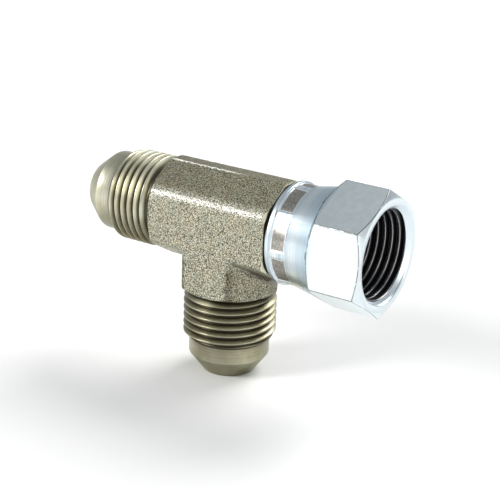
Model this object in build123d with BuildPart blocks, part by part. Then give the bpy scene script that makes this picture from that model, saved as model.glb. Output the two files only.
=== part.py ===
from build123d import *
from build123d.topology import SkipClean
from math import cos, radians, sin, tan
import os

# A steel 37 degree flare fitting, size -8: a run tee with one swivel nut.
# The run lies along X and the branch points down -Z.  The two bores cross at the origin.
# Two pieces: the forged and turned tee body, and the nut crimped on to its swivel tail.
# All lengths are in millimetres.

# ---- 3/4-16 UNF thread, 2A outside and 2B inside ----
thread_pitch = 25.4 / 16
male_crest_r = 9.49
male_root_r = male_crest_r - 0.6134 * thread_pitch
nut_crest_r = 8.75
nut_root_r = 9.6
flank_angle = 30

# ---- forged body, hexagonal in section ----
hex_across_flats = 19.05
hex_across_trimmed = 20.1          # the top, bottom and side corners lose their flash and end flat
run_shoulder = 14.17               # origin to the shoulder behind the run thread
branch_shoulder = 14.43
swivel_shoulder = 13.4
male_shoulder_face_r = 9.5         # the corners are turned off at 30 degrees outside this
swivel_shoulder_face_r = 10.0
shoulder_chamfer_angle = 30
valley_r = 1.0
forging_edge_r = 1.4               # on the long corners beside the flats
trim_edge_r = 0.25                 # on the corners left by trimming the flash
bore_r = 4.95

# ---- male flare end, from the shoulder out to the nose ----
male_end_length = 32.45            # origin to the nose
flare_angle = 37
nose_r = 5.3
land_r = 8.23
neck_r = 8.3
neck_length = 0.8
thread_lead = 1.3                  # length of the chamfer at each end of the thread
land_start = 25.3
thread_core_r = 7.6                # inside this the end is one plain turning

# ---- swivel tail, under the nut ----
stem_r = 7.6
head_r = 8.6
head_start = 17.3
head_end = 22.5
seat_mouth_r = 8.2

# ---- swivel nut ----
nut_across_flats = 22.22
nut_turn = 26.62                   # angle of the hexagon round the run
nut_rear = 13.95
nut_face = 35.15
collar_r = 10.36
collar_front = 15.31
crimp_r = 10.2
crimp_front = 18.6
skirt_start_r = 10.12
skirt_end_r = 11.1
skirt_end = 23.85
crimp_marks = 8
crimp_span = 37
crimp_depth = 0.2
crimp_turn = 29.3
hex_rear_corner = 25.0
hex_front_corner = 34.3
collar_bore_r = 7.95
cavity_r = 8.95
cavity_end = 23.5
relief_r = 9.75
relief_end = 24.9
nut_face_r = 11.04
nut_lead = 0.6
swivel_gap = 0.3                   # play between the tail's head and the nut

# ---- how the thread grooves are cut ----
male_groove_start = 14.4           # both runs of the groove go past the ends of the thread
male_groove_end = 26.3
nut_groove_start = 24.2
nut_groove_end = 36.25
groove_clear = 0.3                 # how far the cutter stands past the crests
groove_turn = 33                   # where each groove starts, off the seam of the turned blank
run_thread_turn = 242.7 - groove_turn
branch_thread_turn = 318.7 - groove_turn
arcs = 8                           # the thread crests are divided into eighths of a turn
arc_turn = 2                       # where the first of those divisions is


def groove(start, end, root_r, open_r):
    """A V groove turned along +Z, with its flat root on root_r and its open side on open_r."""
    outward = 1 if open_r > root_r else -1
    depth = abs(open_r - root_r)
    root_half = thread_pitch / 16
    open_half = root_half + depth * tan(radians(flank_angle))
    with BuildPart() as cutter:
        with BuildLine() as route:
            Helix(thread_pitch, end - start, root_r, center=(0, 0, start))
        with BuildSketch(Plane(route.line @ 0, x_dir=(outward, 0, 0), z_dir=route.line % 0)):
            with BuildLine():
                Polyline(
                    (0, -root_half),
                    (depth, -open_half),
                    (depth, open_half),
                    (0, root_half),
                    close=True,
                )
            make_face()
        sweep(is_frenet=True)
    return cutter.part


def join_in_arcs(ring):
    """The ring cut lengthwise into equal arcs round Z and joined again, with its faces left divided."""
    with BuildPart() as cut_up:
        add(ring)
        for step in range(arcs // 2):
            turn = radians(arc_turn + 360 / arcs * step)
            split(bisect_by=Plane(origin=(0, 0, 0), z_dir=(cos(turn), sin(turn), 0)), keep=Keep.BOTH)
    with BuildPart() as joined, SkipClean():
        add(cut_up.solids())
    return joined.part


os.makedirs("parts", exist_ok=True)

# ================= male flare end =================
# Turned along +Z from the centre of the tee: neck, thread, land, 37 degree cone and nose.
# The thread is a ring of its own round a plain core, until the two are joined.
male_groove = groove(male_groove_start, male_groove_end, male_root_r, male_crest_r + groove_clear)
cone_length = (land_r - nose_r) / tan(radians(flare_angle))
neck_end = run_shoulder + neck_length

with BuildPart() as male_thread:
    with BuildSketch(Plane.XZ):
        with BuildLine():
            Polyline(
                (thread_core_r, run_shoulder),
                (neck_r, run_shoulder),
                (neck_r, neck_end),
                (male_crest_r, neck_end + thread_lead),
                (male_crest_r, land_start - thread_lead),
                (land_r, land_start),
                (thread_core_r, land_start),
                close=True,
            )
        make_face()
    revolve(axis=Axis.Z)
    with Locations(Rotation(0, 0, groove_turn)):
        add(male_groove, mode=Mode.SUBTRACT)

with BuildPart() as male_core:
    with BuildSketch(Plane.XZ):
        with BuildLine():
            Polyline(
                (bore_r, run_shoulder),
                (thread_core_r, run_shoulder),
                (thread_core_r, land_start),
                (land_r, land_start),
                (land_r, male_end_length - cone_length),
                (nose_r, male_end_length),
                (bore_r, male_end_length),
                close=True,
            )
        make_face()
    revolve(axis=Axis.Z)

male_thread_ring = join_in_arcs(male_thread.part)

with BuildPart() as male_end, SkipClean():
    add(male_core.part)
    add(male_thread_ring)

# ================= tee body =================
with BuildPart() as tee_block:
    # the two hexagons, flat on +-Y, with their other corners trimmed
    with BuildSketch(Plane.YZ.offset(-run_shoulder)) as run_section:
        RegularPolygon(hex_across_flats / 2, 6, major_radius=False, rotation=30)
        Rectangle(2 * hex_across_flats, hex_across_trimmed, mode=Mode.INTERSECT)
        rows = run_section.vertices().group_by(Axis.Y)
        fillet(rows[0] + rows[-1], trim_edge_r)
    extrude(amount=run_shoulder + swivel_shoulder)
    with BuildSketch(Plane.XY.offset(-branch_shoulder)) as branch_section:
        RegularPolygon(hex_across_flats / 2, 6, major_radius=False)
        Rectangle(hex_across_trimmed, 2 * hex_across_flats, mode=Mode.INTERSECT)
        columns = branch_section.vertices().group_by(Axis.X)
        fillet(columns[0] + columns[-1], trim_edge_r)
    extrude(amount=branch_shoulder)

    # the two valleys under the run, where it meets the branch
    fillet(tee_block.edges().filter_by(Edge.is_interior), valley_r)

    # the long corners beside the flats, left round by the forging die
    by_depth = tee_block.edges().group_by(Axis.Y)
    beside_flats = by_depth[0] + by_depth[-1]
    along_run = beside_flats.filter_by(Axis.X).filter_by(
        lambda edge: edge.center().Z > -hex_across_flats / 2
    )
    along_branch = beside_flats.filter_by(Axis.Z).filter_by(
        lambda edge: abs(edge.center().X) < hex_across_flats / 2
    )
    fillet(along_run + along_branch, forging_edge_r)

    # the three shoulders, faced and turned off at 30 degrees
    chamfer_rise = hex_across_flats / 4
    chamfer_run = chamfer_rise * tan(radians(shoulder_chamfer_angle))
    for outward, shoulder, face_r in (
        ((-1, 0, 0), run_shoulder, male_shoulder_face_r),
        ((1, 0, 0), swivel_shoulder, swivel_shoulder_face_r),
        ((0, 0, -1), branch_shoulder, male_shoulder_face_r),
    ):
        with BuildSketch(Plane(origin=(0, 0, 0), x_dir=outward, z_dir=(0, 1, 0))):
            with BuildLine():
                Polyline(
                    (shoulder, face_r),
                    (shoulder - chamfer_run, face_r + chamfer_rise),
                    (shoulder, face_r + chamfer_rise),
                    close=True,
                )
            make_face()
        revolve(axis=Axis((0, 0, 0), outward), mode=Mode.SUBTRACT)

    # swivel tail: stem, 45 degree shoulder, head, and the 37 degree seat in its mouth
    seat_start = head_end - (seat_mouth_r - bore_r) / tan(radians(flare_angle))
    with BuildSketch(Plane.XZ):
        with BuildLine():
            Polyline(
                (0, 0),
                (0, stem_r),
                (head_start, stem_r),
                (head_start + head_r - stem_r, head_r),
                (head_end, head_r),
                (head_end, 0),
                close=True,
            )
        make_face()
    revolve(axis=Axis.X)

    # the bores: through the run, opening into the seat, and up the branch
    with BuildSketch(Plane.XZ):
        with BuildLine():
            Polyline(
                (-run_shoulder, 0),
                (-run_shoulder, bore_r),
                (seat_start, bore_r),
                (head_end, seat_mouth_r),
                (head_end, 0),
                close=True,
            )
        make_face()
    revolve(axis=Axis.X, mode=Mode.SUBTRACT)
    with BuildSketch(Plane.XY.offset(-branch_shoulder)):
        Circle(bore_r)
    extrude(amount=branch_shoulder, mode=Mode.SUBTRACT)

# the two male ends: the run end points along -X, the branch end along -Z
run_end = Plane(origin=(0, 0, 0), x_dir=(0, 0, -1), z_dir=(-1, 0, 0)).location
branch_end = Plane(origin=(0, 0, 0), x_dir=(1, 0, 0), z_dir=(0, 0, -1)).location

with BuildPart() as tee_body, SkipClean():
    add(tee_block.part)
    with Locations(
        run_end * Rotation(0, 0, run_thread_turn),
        branch_end * Rotation(0, 0, branch_thread_turn),
    ):
        add(male_end.part)

tee_body.part.label = "tee_body"
export_step(tee_body.part, "parts/tee_body.step")

# ================= swivel nut =================
# Turned and milled round the run axis, with its rear collar crimped in behind the tail's head.
hex_corner_r = nut_across_flats / 2 / cos(radians(30))
collar_edge = 0.45
step_edge = 0.15

with BuildPart() as nut_shell:
    with BuildSketch(Plane.YZ.offset(skirt_end)):
        RegularPolygon(nut_across_flats / 2, 6, major_radius=False, rotation=nut_turn)
    extrude(amount=nut_face - skirt_end)
    with BuildSketch(Plane.XZ):
        with BuildLine():
            Polyline(
                (skirt_end, 0),
                (skirt_end, skirt_end_r),
                (hex_rear_corner, hex_corner_r),
                (hex_front_corner, hex_corner_r),
                (nut_face, nut_face_r),
                (nut_face, 0),
                close=True,
            )
        make_face()
    revolve(axis=Axis.X, mode=Mode.INTERSECT)
    with BuildSketch(Plane.XZ):
        with BuildLine():
            Polyline(
                (nut_rear, 0),
                (nut_rear, collar_r - collar_edge),
                (nut_rear + collar_edge, collar_r),
                (collar_front - step_edge, collar_r),
                (collar_front, crimp_r),
                (crimp_front, skirt_start_r),
                (skirt_end, skirt_end_r),
                (skirt_end, 0),
                close=True,
            )
        make_face()
    revolve(axis=Axis.X)

    # the marks of the crimping jaws, evenly round the collar
    for mark in range(crimp_marks):
        start = radians(crimp_turn - crimp_span / 2 + 360 / crimp_marks * mark)
        jaw_plane = Plane(origin=(0, 0, 0), x_dir=(1, 0, 0), z_dir=(0, -sin(start), cos(start)))
        with BuildSketch(jaw_plane):
            with BuildLine():
                Polyline(
                    (collar_front + step_edge / 2, crimp_r - crimp_depth),
                    (collar_front + step_edge / 2, collar_r),
                    (crimp_front, collar_r),
                    (crimp_front, skirt_start_r - crimp_depth),
                    close=True,
                )
            make_face()
        revolve(axis=Axis.X, revolution_arc=crimp_span, mode=Mode.SUBTRACT)

    # inside: the crimped bore round the stem, the cavity for the head, and the bore for the thread
    cavity_start = head_start + (cavity_r - collar_bore_r) - (head_r - stem_r) - swivel_gap
    with BuildSketch(Plane.XZ):
        with BuildLine():
            Polyline(
                (nut_rear, 0),
                (nut_rear, collar_bore_r + step_edge),
                (nut_rear + step_edge, collar_bore_r),
                (cavity_start, collar_bore_r),
                (cavity_start + cavity_r - collar_bore_r, cavity_r),
                (cavity_end, cavity_r),
                (cavity_end + relief_r - cavity_r, relief_r),
                (nut_face, relief_r),
                (nut_face, 0),
                close=True,
            )
        make_face()
    revolve(axis=Axis.X, mode=Mode.SUBTRACT)

# the female thread, turned along +Z and then laid along +X
nut_groove = groove(nut_groove_start, nut_groove_end, nut_root_r, nut_crest_r - groove_clear)
with BuildPart() as nut_thread:
    with BuildSketch(Plane.XZ):
        with BuildLine():
            Polyline(
                (relief_r, relief_end - nut_lead),
                (nut_crest_r, relief_end),
                (nut_crest_r, nut_face - (relief_r - nut_crest_r)),
                (relief_r, nut_face),
                close=True,
            )
        make_face()
    revolve(axis=Axis.Z)
    with Locations(Rotation(0, 0, groove_turn)):
        add(nut_groove, mode=Mode.SUBTRACT)

nut_thread_ring = join_in_arcs(nut_thread.part)
nut_mouth = Plane(origin=(0, 0, 0), x_dir=(0, 1, 0), z_dir=(1, 0, 0)).location

with BuildPart() as swivel_nut, SkipClean():
    add(nut_shell.part)
    with Locations(nut_mouth):
        add(nut_thread_ring)

swivel_nut.part.label = "swivel_nut"
export_step(swivel_nut.part, "parts/swivel_nut.step")
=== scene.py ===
from math import cos, degrees, radians, sin, tan

import bmesh
import bpy
from mathutils import Matrix, Vector


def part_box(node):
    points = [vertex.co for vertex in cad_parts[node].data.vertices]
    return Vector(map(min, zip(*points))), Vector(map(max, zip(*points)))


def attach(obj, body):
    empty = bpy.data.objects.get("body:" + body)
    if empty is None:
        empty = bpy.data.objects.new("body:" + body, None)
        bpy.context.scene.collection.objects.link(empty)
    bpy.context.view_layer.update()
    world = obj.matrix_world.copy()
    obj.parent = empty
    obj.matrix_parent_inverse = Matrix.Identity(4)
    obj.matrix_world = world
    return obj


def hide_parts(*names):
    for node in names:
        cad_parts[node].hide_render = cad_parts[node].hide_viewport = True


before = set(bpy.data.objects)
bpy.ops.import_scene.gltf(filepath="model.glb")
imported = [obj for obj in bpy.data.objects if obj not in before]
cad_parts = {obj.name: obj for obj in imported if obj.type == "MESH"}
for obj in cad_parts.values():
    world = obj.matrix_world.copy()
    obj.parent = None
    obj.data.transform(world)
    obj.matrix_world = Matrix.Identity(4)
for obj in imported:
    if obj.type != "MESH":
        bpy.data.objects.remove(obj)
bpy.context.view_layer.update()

# A plated steel run tee with a swivel nut, standing on the nose of its branch.
# The fitting's sizes are in millimetres, here and inside the materials.  The frame, the floor, the lights
# and the place of the camera are in metres.
MM = 0.001
thread_pitch = 25.4 / 16
flank_slope = tan(radians(30))
thread_soft = 0.03 * thread_pitch      # how far the thread's corners are rounded, to each side
chamfer_slope = tan(radians(30))

# the block: half its width, over the trimmed corners and over the flats
block_half = 10.05
block_half_flats = 9.525
long_edge = block_half_flats * tan(radians(30))      # from the middle of a flat to its long edges
trim_half = 1.64                       # half the width of the band left by the trimmed flash
block_voxel = 0.2
block_margin = 0.05                    # the block is cut this far outside each shoulder

# the male flare ends, from the middle of the tee outward
shoulders = {"run": 14.17, "branch": 14.43, "swivel": 13.4}
face_r = {"run": 9.5, "branch": 9.5, "swivel": 10.0}
end_axes = {"run": (-1, 0, 0), "branch": (0, 0, -1), "swivel": (1, 0, 0)}
angle_starts = {"run": (0, 0, -1), "branch": (1, 0, 0), "swivel": (0, 1, 0)}
crest_r = 9.49
root_r = crest_r - 0.6134 * thread_pitch
neck_r = 8.3
neck_end = 14.97
thread_lead = 1.3
land_start = 25.3
land_r = 8.23
nose_r = 5.3
nose_end = 32.45
cone_start = nose_end - (land_r - nose_r) / tan(radians(37))
bore_r = 4.95
male_groove_start = 14.4
groove_turns = {"run": 242.7, "branch": 318.7, "nut": 33}
turns_before, turns_after = -2, 10     # the turns of thread that cover every end
end_overlap = 0.4                      # how far the turned ends run into the block
tee_soft = 0.15                        # rounding of the tee's turned corners

# the swivel tail and the nut, along the run
stem_r = 7.6
head_r = 8.6
head_start = 17.3
head_end = 22.5
seat_mouth_r = 8.2
nut_rear = 13.95
nut_face = 35.15
nut_turn = 26.62
nut_half_flats = 11.11
collar_r = 10.36
collar_front = 15.31
collar_break = 0.45
crimp_r = 10.2
crimp_front = 18.6
skirt_start_r = 10.12
skirt_lip = 0.02
skirt_end_r = 11.1
skirt_end = 23.85
step_before, step_after = 0.15, 0.05   # a step in the collar starts before its place and ends after it
crimp_turn = 29.3
crimp_span = 37
crimp_step = 45
crimp_depth = 0.2
mark_wall = 0.8                        # degrees over which a crimp mark reaches its depth
hex_corner_r = nut_half_flats / cos(radians(30))
hex_corner_soft = 0.03
hex_rear_corner = 25.0
hex_front_corner = 34.3
nut_face_r = 11.04
collar_bore_r = 7.95
collar_bore_break = 0.15
cavity_r = 8.95
cavity_start = 17.0
cavity_end = 23.5
relief_r = 9.75
relief_end = 24.9
nut_lead = 0.6
nut_thread_start = relief_end - nut_lead
nut_crest_r = 8.75
nut_root_r = 9.6
nut_groove_start = 24.2
nut_soft = 0.12                        # rounding of the nut's outer and inner corners
nut_inside_soft = 0.1
corner_steps = 3                       # how many faces round off a corner

# steps round a turned shape, in degrees
round_step = 2.5
round_count = round(360 / round_step)
round_angles = [round_step * step for step in range(round_count + 1)]

# how close points are to count as one, in metres
same_point = 1e-7
same_plane = 1e-8
same_seam = 2e-7

# ---- colours ----
card = (0.86, 0.86, 0.865)
sky = (0.91, 0.96, 1)
white = (1, 1, 1)
key_colour = (1, 0.98, 0.95)
back_colour = (1, 0.99, 0.96)
box_colour = (1, 0.96, 0.9)

# forging skin, and what lies over it, with painted highlights and painted shade
grain_dark = (0.11, 0.106, 0.078)
grain_light = (0.8, 0.785, 0.66)
pit_dark = (0.045, 0.04, 0.025)
warm_patch = (1, 0.96, 0.88)
cool_patch = (0.97, 0.985, 0.95)
trimmed_grey = (0.2, 0.185, 0.14)
# painted highlight on the torn edge of the trimmed band
torn_edge_highlight = (1, 0.99, 0.92)
# the rubbed long edge: wear, with a painted highlight over it
rubbed_and_highlit = (1, 0.98, 0.9)
# painted shade on the upper slants
slant_painted_shade = (0.3, 0.28, 0.21)
# painted shade on the branch's sides, and a painted dark reflection along its rounded long edges
branch_side_painted_shade = (0.45, 0.44, 0.38)
edge_band_painted_shade = (0.3, 0.29, 0.24)
# painted shade in the inside corners under the run
crease_painted_shade = (0.04, 0.036, 0.025)

# turned metal of the tee
line_dark = (0.58, 0.565, 0.45)
line_light = (0.74, 0.73, 0.6)
stain_shade = (0.78, 0.76, 0.68)
# painted shade in the thread's grooves, with some of the plating's own darker tone
groove_shade_and_tone = (0.05, 0.045, 0.03)
# painted shade on the cones, on the branch's end and under the run's end
cone_painted_shade = (0.5, 0.52, 0.4)
branch_painted_shade = (0.46, 0.44, 0.36)
underside_painted_shade = (0.42, 0.4, 0.32)

# zinc of the nut
zinc_blue = (0.78, 0.87, 0.9)
zinc_bright = (0.89, 0.94, 0.95)
zinc_speck = (0.78, 0.86, 0.88)
zinc_line = (0.5, 0.6, 0.68)
skirt_blue = (0.5, 0.64, 0.74)
worn_edge = (0.17, 0.16, 0.14)
# painted shade on the turned cone and the face at the front of the nut
front_painted_shade = (0.68, 0.76, 0.81)
mark_dark = (0.2, 0.19, 0.17)
mark_light = (0.52, 0.5, 0.46)
# painted highlight round the crimp marks
mark_edge_highlight = (0.95, 0.96, 0.96)
# painted shade inside the nut, lighter on the thread's crests
inside_painted_shade = (0.05, 0.05, 0.055)
crest_lighter_shade = (0.65, 0.66, 0.67)

# ---- camera and studio ----
camera_azimuth = 33.08
camera_elevation = 20.43
camera_roll = radians(1.91)
camera_distance = 0.28722
camera_lens = 103.65
camera_sensor = 36
aim = Vector((0.004294, 0.000139, -0.005981))
floor_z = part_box("tee_body")[0].z
floor_half = 30
sky_strength = 0.43


def towards(azimuth, elevation):
    """The direction from the fitting at these angles.  Azimuth 0 is in front, 90 at the right."""
    az, el = radians(azimuth), radians(elevation)
    return Vector((sin(az) * cos(el), -cos(az) * cos(el), sin(el)))


def make_camera():
    """A long lens, in front and to the right, a little above."""
    az = radians(camera_azimuth)
    back = towards(camera_azimuth, camera_elevation)
    right = Vector((cos(az), sin(az), 0))
    up = back.cross(right)
    rolled_right = cos(camera_roll) * right + sin(camera_roll) * up
    rolled_up = back.cross(rolled_right)
    data = bpy.data.cameras.new("camera")
    data.lens = camera_lens
    data.sensor_width = camera_sensor
    data.clip_start = 0.01
    camera = bpy.data.objects.new("camera", data)
    turn = Matrix((rolled_right, rolled_up, back)).transposed()
    camera.matrix_world = Matrix.Translation(aim + camera_distance * back) @ turn.to_4x4()
    bpy.context.scene.collection.objects.link(camera)
    bpy.context.scene.camera = camera


def make_floor():
    """A wide sheet of white card."""
    half = floor_half
    mesh = bpy.data.meshes.new("floor")
    corners = [(-half, -half, 0), (half, -half, 0), (half, half, 0), (-half, half, 0)]
    mesh.from_pydata(corners, [], [(0, 1, 2, 3)])
    floor = bpy.data.objects.new("floor", mesh)
    floor.location.z = floor_z
    bpy.context.scene.collection.objects.link(floor)
    finish = Finish("white_card")
    finish.set(base=card, metallic=0, roughness=0.6)
    mesh.materials.append(finish.material)


def make_light(name, kind, away, power, colour):
    """A light that shines from away towards the fitting."""
    data = bpy.data.lights.new(name, kind)
    data.energy = power
    data.color = colour
    light = bpy.data.objects.new(name, data)
    light.rotation_euler = away.to_track_quat("Z", "Y").to_euler()
    bpy.context.scene.collection.objects.link(light)
    return light


def make_even_light(name, azimuth, elevation, spread, power, colour):
    """A wide light that is the same over the whole floor.  Spread is in degrees."""
    light = make_light(name, "SUN", towards(azimuth, elevation), power, colour)
    light.data.angle = radians(spread)


def make_soft_box(name, azimuth, elevation, distance, side, power, colour):
    """A square soft box, aimed at the middle of the fitting."""
    away = towards(azimuth, elevation)
    light = make_light(name, "AREA", away, power, colour)
    light.data.shape = "SQUARE"
    light.data.size = side
    light.location = aim + distance * away


def make_world():
    """An even, pale sky, seen in the metal."""
    world = bpy.data.worlds.new("studio")
    world.use_nodes = True
    background = world.node_tree.nodes["Background"]
    background.inputs["Color"].default_value = (*sky, 1)
    background.inputs["Strength"].default_value = sky_strength
    bpy.context.scene.world = world
    bpy.context.scene.view_settings.view_transform = "Standard"


# ---- materials ----
class Finish:
    """A material being made.  Each method adds one kind of node and gives back its output."""

    def __init__(self, name):
        self.material = bpy.data.materials.new(name)
        self.material.use_nodes = True
        self.tree = self.material.node_tree
        self.shader = self.tree.nodes["Principled BSDF"]

    def node(self, kind, inputs, **settings):
        made = self.tree.nodes.new(kind)
        for key, value in settings.items():
            setattr(made, key, value)
        for key, value in inputs.items():
            self.feed(made, key, value)
        return made

    def feed(self, made, key, value):
        """Gives an input of a node the output of another, or a value."""
        if isinstance(value, bpy.types.NodeSocket):
            self.tree.links.new(value, made.inputs[key])
        else:
            made.inputs[key].default_value = value

    def position(self):
        """The point on the surface, in millimetres, in the frame at rest."""
        coordinates = self.node("ShaderNodeTexCoord", {})
        scaled = self.node(
            "ShaderNodeVectorMath", {0: coordinates.outputs["Object"], "Scale": 1 / MM}, operation="SCALE"
        )
        return scaled.outputs[0]

    def split(self, vector):
        return self.node("ShaderNodeSeparateXYZ", {0: vector}).outputs

    def combine(self, x, y, z):
        return self.node("ShaderNodeCombineXYZ", {0: x, 1: y, 2: z}).outputs[0]

    def math(self, operation, a, b=0.0):
        return self.node("ShaderNodeMath", {0: a, 1: b}, operation=operation).outputs[0]

    def plus(self, a, b):
        return self.math("ADD", a, b)

    def minus(self, a, b):
        return self.math("SUBTRACT", a, b)

    def times(self, a, b):
        return self.math("MULTIPLY", a, b)

    def absolute(self, value):
        """The value without its sign."""
        return self.math("ABSOLUTE", value)

    def least(self, a, b):
        return self.math("MINIMUM", a, b)

    def most(self, a, b):
        return self.math("MAXIMUM", a, b)

    def under(self, value, limit):
        return self.math("LESS_THAN", value, limit)

    def over(self, value, limit):
        return self.math("GREATER_THAN", value, limit)

    def radius(self, a, b):
        return self.math("SQRT", self.plus(self.times(a, a), self.times(b, b)))

    def rise(self, value, start, end):
        """0 at start, 1 at end, and smooth between.  Start may be the larger one."""
        return self.node(
            "ShaderNodeMapRange",
            {"Value": value, "From Min": start, "From Max": end},
            interpolation_type="SMOOTHSTEP",
        ).outputs[0]

    def fall(self, value, start, end):
        """1 up to start, 0 from end, and smooth between."""
        return self.minus(1.0, self.rise(value, start, end))

    def noise(self, vector, scale, detail, roughness):
        return self.node(
            "ShaderNodeTexNoise",
            {"Vector": vector, "Scale": scale, "Detail": detail, "Roughness": roughness},
        ).outputs[0]

    def mix(self, factor, a, b, blend="MIX"):
        """The colour a where factor is 0, and b where it is 1."""
        colours = [value if isinstance(value, bpy.types.NodeSocket) else (*value, 1) for value in (a, b)]
        return self.node(
            "ShaderNodeMix",
            {"Factor": factor, 6: colours[0], 7: colours[1]},
            data_type="RGBA",
            blend_type=blend,
        ).outputs[2]

    def cover(self, colour, mask, strength, paint):
        """The colour, covered with paint on the mask."""
        return self.mix(self.times(mask, strength), colour, paint)

    def shade(self, colour, mask, strength, tint):
        """The colour, multiplied by the tint on the mask."""
        return self.mix(self.times(mask, strength), colour, tint, "MULTIPLY")

    def blend(self, factor, a, b):
        """The number a where factor is 0, and b where it is 1."""
        return self.node("ShaderNodeMix", {"Factor": factor, 2: a, 3: b}, data_type="FLOAT").outputs[0]

    def blend_normals(self, factor, a, b):
        return self.node("ShaderNodeMix", {"Factor": factor, 4: a, 5: b}, data_type="VECTOR").outputs[1]

    def bump(self, height, depth):
        """Height is from 0 to 1, and depth is what 1 stands for, in millimetres."""
        return self.node("ShaderNodeBump", {"Height": height, "Distance": depth * MM}).outputs[0]

    def set(self, base, roughness, metallic=1.0, normal=None):
        colour = base if isinstance(base, bpy.types.NodeSocket) else (*base, 1)
        self.feed(self.shader, "Base Color", colour)
        self.feed(self.shader, "Roughness", roughness)
        self.feed(self.shader, "Metallic", metallic)
        if normal:
            self.feed(self.shader, "Normal", normal)


class ForgingFinish(Finish):
    """The tee: coarse forging skin on the block, turned metal on its three ends and in its bores."""

    def __init__(self):
        super().__init__("plated_forging")
        self.place = self.position()
        self.x, self.y, self.z = self.split(self.place)
        self.off_x, self.off_y, self.off_z = [self.absolute(value) for value in (self.x, self.y, self.z)]
        self.leftward = self.times(self.x, -1.0)
        self.downward = self.times(self.z, -1.0)
        self.run_r = self.radius(self.y, self.z)
        self.branch_r = self.radius(self.x, self.y)
        self.run_end = self.turned_end("run", self.leftward, self.run_r)
        self.branch_end = self.turned_end("branch", self.downward, self.branch_r)
        self.swivel_end = self.turned_end("swivel", self.x, self.run_r)
        self.grain = self.noise(self.place, scale=4.6, detail=3.0, roughness=0.7)
        self.pits = self.noise(self.place, scale=3.4, detail=2.0, roughness=0.6)

    def turned_end(self, end, outward, r):
        """1 on one end's shoulder, its chamfer and everything outside them."""
        past = self.minus(outward, shoulders[end])
        on_cone = self.times(self.minus(r, face_r[end]), chamfer_slope)
        nearer = self.most(past, self.plus(past, on_cone))
        return self.times(self.rise(nearer, -0.06, -0.02), self.over(outward, block_half + 0.3))

    def turned(self):
        """1 on all turned and drilled surfaces."""
        ends = self.most(self.most(self.run_end, self.branch_end), self.swivel_end)
        from_bores = self.least(self.run_r, self.most(self.branch_r, self.z))
        return self.most(ends, self.under(from_bores, bore_r + 0.2))

    def grained(self):
        """Fine salt and pepper grain, dark pits, patches of warmer and cooler plating."""
        skin = self.mix(self.rise(self.grain, 0.4, 0.62), grain_dark, grain_light)
        skin = self.mix(self.rise(self.pits, 0.58, 0.66), skin, pit_dark)
        patch = self.noise(self.place, scale=0.4, detail=1.0, roughness=0.5)
        tint = self.mix(self.rise(patch, 0.35, 0.65), warm_patch, cool_patch)
        return self.mix(1.0, skin, tint, "MULTIPLY")

    def as_far_out(self, distance):
        """1 where the distance from the middle is that of the trimmed corners."""
        return self.rise(distance, block_half - 0.3, block_half - 0.12)

    def trimmed_and_torn(self):
        """Masks of the band where the flash was trimmed, and of the painted highlight on its torn edge on the
        top, left of the nut.
        """
        unevenness = self.noise(self.place, scale=1.1, detail=4.0, roughness=0.7)
        ragged = self.plus(self.off_y, self.times(unevenness, 1.4))
        on_trim = self.as_far_out(self.most(self.off_z, self.off_x))
        trimmed = self.times(self.fall(ragged, trim_half + 0.6, trim_half + 0.75), on_trim)
        from_tear = self.absolute(self.minus(ragged, trim_half + 0.68))
        highlit_tear = self.times(self.fall(from_tear, 0.12, 0.26), self.as_far_out(self.z))
        return trimmed, self.times(highlit_tear, self.rise(self.x, 7.0, -2.0))

    def shade_slants(self, skin, highlit_tear):
        """The slants above the front and the back are darker, as painted shade, apart from the torn edge with
        its painted highlight.
        """
        slant = self.rise(self.z, long_edge + 0.5, long_edge + 1.2)
        return self.shade(skin, self.times(slant, self.minus(1.0, highlit_tear)), 0.55, slant_painted_shade)

    def shade_branch(self, skin):
        """Below the run, the branch's sides are darker with painted shade, and its rounded long edges with a
        painted dark reflection.
        """
        below = self.rise(self.minus(self.downward, self.off_x), 0.5, 2.5)
        sideways = self.minus(self.off_x, long_edge)
        skin = self.shade(skin, self.times(self.rise(sideways, 0.0, 1.0), below), 0.45, branch_side_painted_shade)
        band = self.times(self.fall(self.absolute(sideways), 0.1, 1.1), below)
        return self.shade(skin, band, 0.75, edge_band_painted_shade)

    def shade_creases(self, skin):
        """Painted shade in the inside corners under the run."""
        corner = self.absolute(self.plus(self.off_x, self.z))
        mask = self.times(self.fall(corner, 0.3, 2.0), self.rise(self.off_x, 5.5, 9.5))
        return self.cover(skin, mask, 0.85, crease_painted_shade)

    def rub_and_highlight(self, skin):
        """The long edge over the front and the back is rubbed bright, partly wear and partly a painted
        highlight, more so on the high grain.
        """
        from_edge = self.radius(self.minus(self.off_y, block_half_flats), self.minus(self.z, long_edge))
        rub_highlight_mask = self.fall(self.minus(from_edge, self.times(self.grain, 7.0)), -3.5, -2.6)
        return self.mix(rub_highlight_mask, skin, rubbed_and_highlit)

    def skin(self, trimmed, highlit_tear):
        skin = self.cover(self.grained(), trimmed, 0.3, trimmed_grey)
        # a painted highlight along the torn edge
        skin = self.mix(highlit_tear, skin, torn_edge_highlight)
        skin = self.shade_slants(skin, highlit_tear)
        skin = self.shade_branch(skin)
        return self.rub_and_highlight(self.shade_creases(skin))

    def turned_metal(self):
        """Fine lines round each axis, with painted shade in the thread, on the cones and branch and under the
        run end.

        Gives the colour and the lines."""
        along = self.blend(self.branch_end, self.x, self.z)
        outward = self.blend(self.branch_end, self.leftward, self.downward)
        r = self.blend(self.branch_end, self.run_r, self.branch_r)
        line_place = self.combine(along, self.times(r, 0.5), 0.0)
        lines = self.noise(line_place, scale=3.2, detail=3.0, roughness=0.6)
        metal = self.mix(self.rise(lines, 0.25, 0.75), line_dark, line_light)
        stain = self.noise(self.place, scale=0.25, detail=2.0, roughness=0.5)
        metal = self.mix(1.0, metal, self.mix(self.rise(stain, 0.3, 0.7), stain_shade, white), "MULTIPLY")
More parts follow.
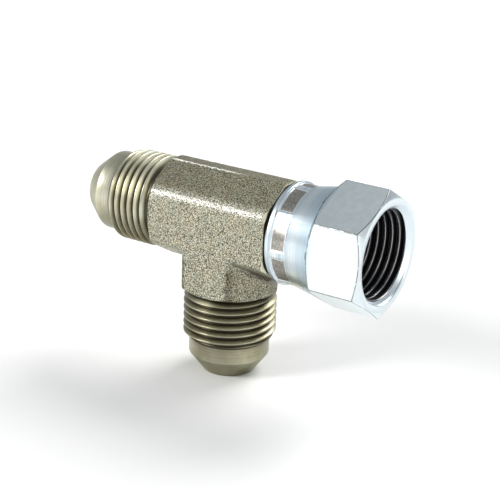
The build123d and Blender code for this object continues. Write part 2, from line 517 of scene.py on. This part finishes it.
        # painted shade in the grooves of the thread, with some of the plating's own darker tone
        groove = self.times(self.fall(r, root_r, crest_r - 0.2), self.under(outward, land_start))
        metal = self.cover(metal, groove, 0.92, groove_shade_and_tone)
        # painted shade on the cones
        on_cone = self.rise(outward, cone_start - 0.05, cone_start + 0.15)
        metal = self.shade(metal, on_cone, 0.6, cone_painted_shade)
        # painted shade on the branch's end
        metal = self.shade(metal, self.branch_end, 0.7, branch_painted_shade)
        # painted shade towards the bottom of the run's end
        downwards = self.rise(self.math("DIVIDE", self.z, self.run_r), 0.1, -0.75)
        metal = self.mix(self.times(downwards, self.run_end), metal, underside_painted_shade, "MULTIPLY")
        return metal, lines


def plated_forging():
    finish = ForgingFinish()
    turned = finish.turned()
    trimmed, highlit_tear = finish.trimmed_and_torn()
    metal, lines = finish.turned_metal()
    skin_height = finish.plus(finish.grain, finish.times(finish.pits, -0.5))
    skin_rough = finish.blend(finish.rise(finish.grain, 0.35, 0.7), 0.58, 0.36)
    skin_rough = finish.blend(trimmed, skin_rough, 0.38)
    finish.set(
        base=finish.mix(turned, finish.skin(trimmed, highlit_tear), metal),
        roughness=finish.blend(turned, skin_rough, finish.blend(lines, 0.3, 0.44)),
        normal=finish.blend_normals(turned, finish.bump(skin_height, 0.14), finish.bump(lines, 0.01)),
    )
    return finish.material


class ZincFinish(Finish):
    """The nut: bright zinc with turning lines, dull crimp marks with a painted highlight round them, and a
    threaded mouth painted dark as shade.
    """

    def __init__(self):
        super().__init__("bright_zinc")
        self.place = self.position()
        self.x, y, z = self.split(self.place)
        self.r = self.radius(y, z)
        self.turn = self.times(self.math("ARCTAN2", z, y), degrees(1))
        line_place = self.combine(self.x, self.times(self.r, 0.6), 0.0)
        self.lines = self.noise(line_place, scale=3.4, detail=4.0, roughness=0.7)
        self.cloud = self.noise(self.place, scale=0.7, detail=4.0, roughness=0.6)
        self.speck = self.noise(self.place, scale=2.6, detail=3.0, roughness=0.6)
        self.behind = self.fall(self.x, hex_rear_corner - 1.0, hex_rear_corner)

    def turn_past(self, start, repeat):
        """Degrees round the run since the last of the places that repeat from start.

        Two whole turns are added, because MODULO keeps the sign."""
        return self.math("MODULO", self.plus(self.turn, 720 - start), repeat)

    def bare(self):
        """Clouded zinc.  Behind the hexagon it has lines going round, and is bluer towards it."""
        zinc = self.mix(self.rise(self.cloud, 0.3, 0.7), zinc_blue, zinc_bright)
        zinc = self.mix(self.rise(self.speck, 0.5, 0.7), zinc, zinc_speck)
        zinc = self.mix(self.times(self.behind, self.rise(self.lines, 0.35, 0.65)), zinc, zinc_line)
        blued = self.times(self.behind, self.rise(self.x, crimp_front + 1.0, skirt_end))
        return self.cover(zinc, blued, 0.7, skirt_blue)

    def off_flat_middle(self):
        """Degrees round the run from the middle of the nearest flat."""
        return self.absolute(self.minus(self.turn_past(nut_turn, 60.0), 30.0))

    def flats(self, off_middle):
        """1 on the flats of the hexagon."""
        height = self.times(self.r, self.math("COSINE", self.math("RADIANS", off_middle)))
        return self.over(height, nut_half_flats - 0.06)

    def from_cone(self, low_x, low_r, high_x):
        """How far along the run a point of a flat is from the cone that ends it."""
        slope = (high_x - low_x) / (hex_corner_r - low_r)
        end = self.plus(self.times(self.r, slope), low_x - slope * low_r)
        return self.absolute(self.minus(self.x, end))

    def worn_edges(self, off_middle, on_flat):
        """1 on the sharp edges of the hexagon, where they are worn to a thin dull line."""
        front = self.from_cone(nut_face, nut_face_r, hex_front_corner)
        rear = self.from_cone(skirt_end, skirt_end_r, hex_rear_corner)
        near_cone = self.times(on_flat, self.under(self.least(front, rear), 0.2))
        turned_to_corner = self.over(off_middle, 30 - degrees(0.15 / hex_corner_r))
        near_corner = self.times(turned_to_corner, self.over(self.r, hex_corner_r - 0.4))
        return self.times(self.most(near_cone, near_corner), self.rise(self.cloud, 0.3, 0.5))

    def crimp_marks(self, zinc):
        """Dull brown-grey windows with a painted highlight as their outline.  Gives the colour and the
        windows.
        """
        turn = self.turn_past(crimp_turn - crimp_span / 2, crimp_step)
        off_mark = self.times(self.absolute(self.minus(turn, crimp_span / 2)), radians(crimp_r))
        off_band = self.absolute(self.minus(self.x, (collar_front + crimp_front) / 2))

        def window(edge):
            wide = self.under(off_mark, radians(crimp_r) * crimp_span / 2 - edge)
            long = self.under(off_band, (crimp_front - collar_front) / 2 - edge)
            return self.times(wide, long)

        mark = window(0.3)
        outline = self.minus(window(0.08), mark)
        streak_place = self.combine(self.x, self.times(turn, 0.06), 0.0)
        streaks = self.noise(streak_place, scale=4.0, detail=4.0, roughness=0.7)
        zinc = self.mix(mark, zinc, self.mix(self.rise(streaks, 0.3, 0.7), mark_dark, mark_light))
        # a painted highlight along the outline of each window
        return self.mix(outline, zinc, mark_edge_highlight), mark

    def inside(self, zinc):
        """The inside is painted dark as shade, less so on the crests of the thread."""
        within = self.times(self.under(self.r, relief_r + 0.1), self.under(self.x, nut_face - 0.9))
        crest = self.fall(self.r, nut_crest_r, nut_crest_r + 0.09)
        return self.mix(within, zinc, self.mix(crest, inside_painted_shade, crest_lighter_shade))


def bright_zinc():
    finish = ZincFinish()
    off_middle = finish.off_flat_middle()
    on_flat = finish.flats(off_middle)
    zinc = finish.cover(finish.bare(), finish.worn_edges(off_middle, on_flat), 0.8, worn_edge)
    # the turned cone and the face at the front are darker than the flats: painted shade
    turned_front = finish.times(finish.rise(finish.x, 33.0, 33.6), finish.minus(1.0, on_flat))
    zinc = finish.cover(zinc, turned_front, 0.7, front_painted_shade)
    zinc, mark = finish.crimp_marks(zinc)
    height = finish.plus(finish.times(finish.lines, finish.behind), finish.times(finish.speck, 0.4))
    finish.set(
        base=finish.inside(zinc),
        roughness=finish.blend(mark, finish.blend(finish.lines, 0.24, 0.4), 0.3),
        normal=finish.bump(height, 0.008),
    )
    return finish.material


# ---- turned shapes ----
def rounded(points, radius):
    """An open outline, with each corner between its ends cut back by radius and rounded."""
    points = [Vector(point) for point in points]
    line = [points[0]]
    for before, corner, after in zip(points, points[1:], points[2:]):
        into, out = before - corner, after - corner
        reach = min(radius, 0.45 * into.length, 0.45 * out.length)
        start = corner + into.normalized() * reach
        end = corner + out.normalized() * reach
        for step in range(corner_steps + 1):
            t = step / corner_steps
            line.append((1 - t) ** 2 * start + 2 * t * (1 - t) * corner + t * t * end)
    line.append(points[-1])
    return line


def thread_rows(turn, start, first, last, groove_r, ridge_r, limit):
    """The thread's outline at one angle: rows that follow the helix, held between first and last.

    turn is the angle from the groove's start, in turns.  limit gives the largest or smallest radius
    that the thread's end chamfers leave at a place along the axis."""
    outward = 1 if ridge_r > groove_r else -1
    full_depth = abs(ridge_r - groove_r)
    root_half = thread_pitch / 16
    open_half = root_half + full_depth * flank_slope

    def depth(away):
        away = abs((away + thread_pitch / 2) % thread_pitch - thread_pitch / 2)
        return min(max(away - root_half, 0) / flank_slope, full_depth)

    soft = thread_soft
    half = [0, root_half - soft, root_half, root_half + soft, (root_half + open_half) / 2]
    half += [open_half - soft, open_half, open_half + soft]
    stations = [-away for away in reversed(half[1:])] + half + [thread_pitch / 2]
    base = start + thread_pitch * turn
    rows = []
    for groove in range(turns_before, turns_after):
        for away in stations:
            along = base + groove * thread_pitch + away
            along = min(max(along, first), last)
            raised = sum(depth(along - base + shift * soft) for shift in (-1, -0.5, 0, 0.5, 1)) / 5
            r = groove_r + outward * raised
            r = min(r, limit(along)) if outward > 0 else max(r, limit(along))
            rows.append((along, r))
    return rows


def revolve(shape, angles, outline, end):
    """Adds to shape the surface that outline(angle) sweeps round one end's axis, at angles in degrees."""
    axis, start = Vector(end_axes[end]), Vector(angle_starts[end])
    side = axis.cross(start)
    before = None
    for angle in angles:
        out = cos(radians(angle)) * start + sin(radians(angle)) * side
        column = [shape.verts.new((along * axis + r * out) * MM) for along, r in outline(angle)]
        if before:
            for i in range(len(column) - 1):
                shape.faces.new((before[i], before[i + 1], column[i + 1], column[i]))
        before = column


def male_end(shape, end):
    """Neck, thread, land, 37 degree cone, nose and bore of one flare end."""
    inner = shoulders[end] - end_overlap

    def limit(along):
        rise = (crest_r - neck_r) / thread_lead
        fall = (crest_r - land_r) / thread_lead
        return min(neck_r + rise * (along - neck_end), land_r + fall * (land_start - along), crest_r)

    def outline(angle):
        turn = (angle - groove_turns[end]) / 360
        neck = [(inner, neck_r), (neck_end, neck_r)]
        thread = thread_rows(turn, male_groove_start, neck_end, land_start, root_r, crest_r, limit)
        nose = [(land_start, land_r), (cone_start, land_r), (nose_end, nose_r), (nose_end, bore_r)]
        return neck + thread + rounded(nose + [(inner, bore_r)], tee_soft)

    revolve(shape, round_angles, outline, end)


def swivel_tail(shape):
    """Stem, shoulder, head and 37 degree seat, hidden under the nut."""
    seat_start = head_end - (seat_mouth_r - bore_r) / tan(radians(37))
    inner = shoulders["swivel"] - end_overlap
    outside = [(inner, stem_r), (head_start, stem_r), (head_start + head_r - stem_r, head_r)]
    seat = [(head_end, head_r), (head_end, seat_mouth_r), (seat_start, bore_r), (inner, bore_r)]
    outline = rounded(outside + seat, tee_soft)
    revolve(shape, round_angles, lambda angle: outline, "swivel")


def nut_outline(angle):
    """The closed outline of the nut at one angle round the run, from its rear bore over the outside."""
    flat_angle = radians((angle - nut_turn) % 60 - 30)
    hex_r = min(nut_half_flats / cos(flat_angle), hex_corner_r - hex_corner_soft)
    rear = skirt_end + (hex_rear_corner - skirt_end) * (hex_r - skirt_end_r) / (hex_corner_r - skirt_end_r)
    front = nut_face - (nut_face - hex_front_corner) * (hex_r - nut_face_r) / (hex_corner_r - nut_face_r)
    in_mark = (angle - crimp_turn + crimp_span / 2) % crimp_step
    pressed = crimp_depth * min(max(min(in_mark, crimp_span - in_mark) / mark_wall, 0), 1)
    outside = [
        (nut_rear, collar_bore_r + collar_bore_break),
        (nut_rear, collar_r - collar_break),
        (nut_rear + collar_break, collar_r),
        (collar_front - step_before, collar_r),
        (collar_front + step_after, crimp_r - pressed),
        (crimp_front - step_before, skirt_start_r - pressed),
        (crimp_front + step_after, skirt_start_r + skirt_lip),
        (skirt_end, skirt_end_r),
        (rear, hex_r),
        (front, hex_r),
        (nut_face, nut_face_r),
        (nut_face, relief_r),
    ]

    def limit(along):
        mouth = relief_r - (nut_face - along)
        foot = nut_crest_r + (relief_end - along) / nut_lead * (relief_r - nut_crest_r)
        return max(mouth, foot, nut_crest_r)

    turn = (angle - groove_turns["nut"]) / 360
    thread = thread_rows(turn, nut_groove_start, nut_thread_start, nut_face, nut_root_r, nut_crest_r, limit)
    inside = [
        (nut_thread_start, relief_r),
        (cavity_end + relief_r - cavity_r, relief_r),
        (cavity_end, cavity_r),
        (cavity_start + cavity_r - collar_bore_r, cavity_r),
        (cavity_start, collar_bore_r),
        (nut_rear + collar_bore_break, collar_bore_r),
        (nut_rear, collar_bore_r + collar_bore_break),
    ]
    return rounded(outside, nut_soft) + thread[::-1] + rounded(inside, nut_inside_soft)


def nut_angles():
    """Even steps, with more beside the corners of the hexagon and at the walls of the crimp marks."""
    angles = {round_step * step + nut_turn % round_step for step in range(round_count)} | {0.0, 360.0}
    for corner in range(6):
        for off in (-1.2, -0.6, 0.6, 1.2):
            angles.add((nut_turn + 60 * corner + off) % 360)
    for mark in range(360 // crimp_step):
        for wall in (0, mark_wall, crimp_span - mark_wall, crimp_span):
            angles.add((crimp_turn - crimp_span / 2 + crimp_step * mark + wall) % 360)
    return sorted(angles)


# ---- forged block ----
def forged_block():
    """The block of the tee: its CAD shape without the ends, remeshed evenly."""
    shape = bmesh.new()
    shape.from_mesh(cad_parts["tee_body"].data)
    bmesh.ops.remove_doubles(shape, verts=shape.verts, dist=same_point)
    for end, axis in end_axes.items():
        everything = shape.verts[:] + shape.edges[:] + shape.faces[:]
        place = Vector(axis) * (shoulders[end] + block_margin) * MM
        cut = bmesh.ops.bisect_plane(
            shape, geom=everything, dist=same_plane, plane_co=place, plane_no=axis, clear_outer=True
        )
        rim = [part for part in cut["geom_cut"] if isinstance(part, bmesh.types.BMEdge)]
        bmesh.ops.triangle_fill(shape, edges=rim, use_beauty=True)
    mesh = bpy.data.meshes.new("block")
    shape.to_mesh(mesh)
    shape.free()
    block = bpy.data.objects.new("block", mesh)
    bpy.context.scene.collection.objects.link(block)
    remesh = block.modifiers.new("even", "REMESH")
    remesh.mode = "VOXEL"
    remesh.voxel_size = block_voxel * MM
    depsgraph = bpy.context.evaluated_depsgraph_get()
    even = bpy.data.meshes.new_from_object(block.evaluated_get(depsgraph))
    bpy.data.objects.remove(block)
    return even


def finished(name, body, shape, material, node):
    """Turns a shape into the piece that stands for a CAD node and rides on its body."""
    bmesh.ops.remove_doubles(shape, verts=shape.verts, dist=same_seam)
    bmesh.ops.dissolve_degenerate(shape, edges=shape.edges, dist=same_point)
    bmesh.ops.recalc_face_normals(shape, faces=shape.faces)
    mesh = bpy.data.meshes.new(name)
    shape.to_mesh(mesh)
    shape.free()
    mesh.shade_smooth()
    mesh.materials.append(material)
    piece = bpy.data.objects.new(name, mesh)
    bpy.context.scene.collection.objects.link(piece)
    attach(piece, body)
    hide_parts(node)


def make_tee():
    shape = bmesh.new()
    male_end(shape, "run")
    male_end(shape, "branch")
    swivel_tail(shape)
    shape.from_mesh(forged_block())
    finished("tee_forging", "tee", shape, plated_forging(), "tee_body")


def make_nut():
    shape = bmesh.new()
    revolve(shape, nut_angles(), nut_outline, "swivel")
    finished("nut_turning", "nut", shape, bright_zinc(), "swivel_nut")


make_tee()
make_nut()
make_floor()
make_world()
make_even_light("key", azimuth=-37, elevation=29, spread=22, power=2.35, colour=key_colour)
make_even_light("back", azimuth=168, elevation=45, spread=38, power=2.35, colour=back_colour)
make_soft_box("right_box", azimuth=78, elevation=16, distance=0.7, side=0.35, power=1.1, colour=box_colour)
make_camera()
